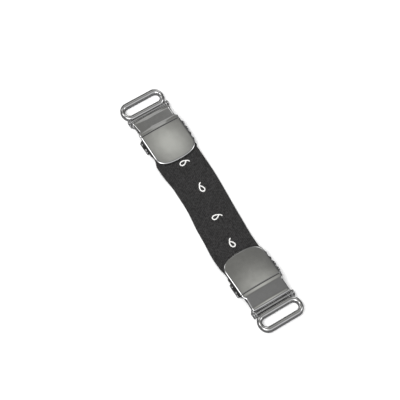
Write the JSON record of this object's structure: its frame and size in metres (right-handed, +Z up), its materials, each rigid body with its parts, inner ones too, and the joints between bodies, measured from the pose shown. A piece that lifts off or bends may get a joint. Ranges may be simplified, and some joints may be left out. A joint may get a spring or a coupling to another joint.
{
  "type": "shirt stay strap with lever clips",
  "caption": "Short elastic strap with a lever clip at each end: a hinged lid clamps the strap on a toothed base, and an oval eye points outward.",
  "frame": {"origin": "under the middle of the strap, on the surface that the clips rest on", "axes": "+X along the strap from clip a to clip b, +Y across the strap, +Z up"},
  "size_m": [0.1592, 0.0292, 0.0052],
  "materials": {
    "elastic": "woven elastic, matt charcoal with small white woven loops",
    "chrome": "polished nickel-chrome plate on pressed sheet steel"
  },
  "bodies": {
    "root": {"strap": "elastic", "base_a": "chrome", "pin_a": "chrome", "base_b": "chrome", "pin_b": "chrome"},
    "lid_a": {"lid_a": "chrome"},
    "lid_b": {"lid_b": "chrome"}
  },
  "joints": [
    {"name": "lid_a_hinge", "type": "hinge", "parent": "root", "child": "lid_a", "pos_m": [-0.06699, 0.00018, 0.00245], "axis": [0.0271, -0.9996, 0], "range_deg": [0, 100]},
    {"name": "lid_b_hinge", "type": "hinge", "parent": "root", "child": "lid_b", "pos_m": [0.06699, -0.00018, 0.00245], "axis": [-0.0271, 0.9996, 0], "range_deg": [0, 100]}
  ]
}
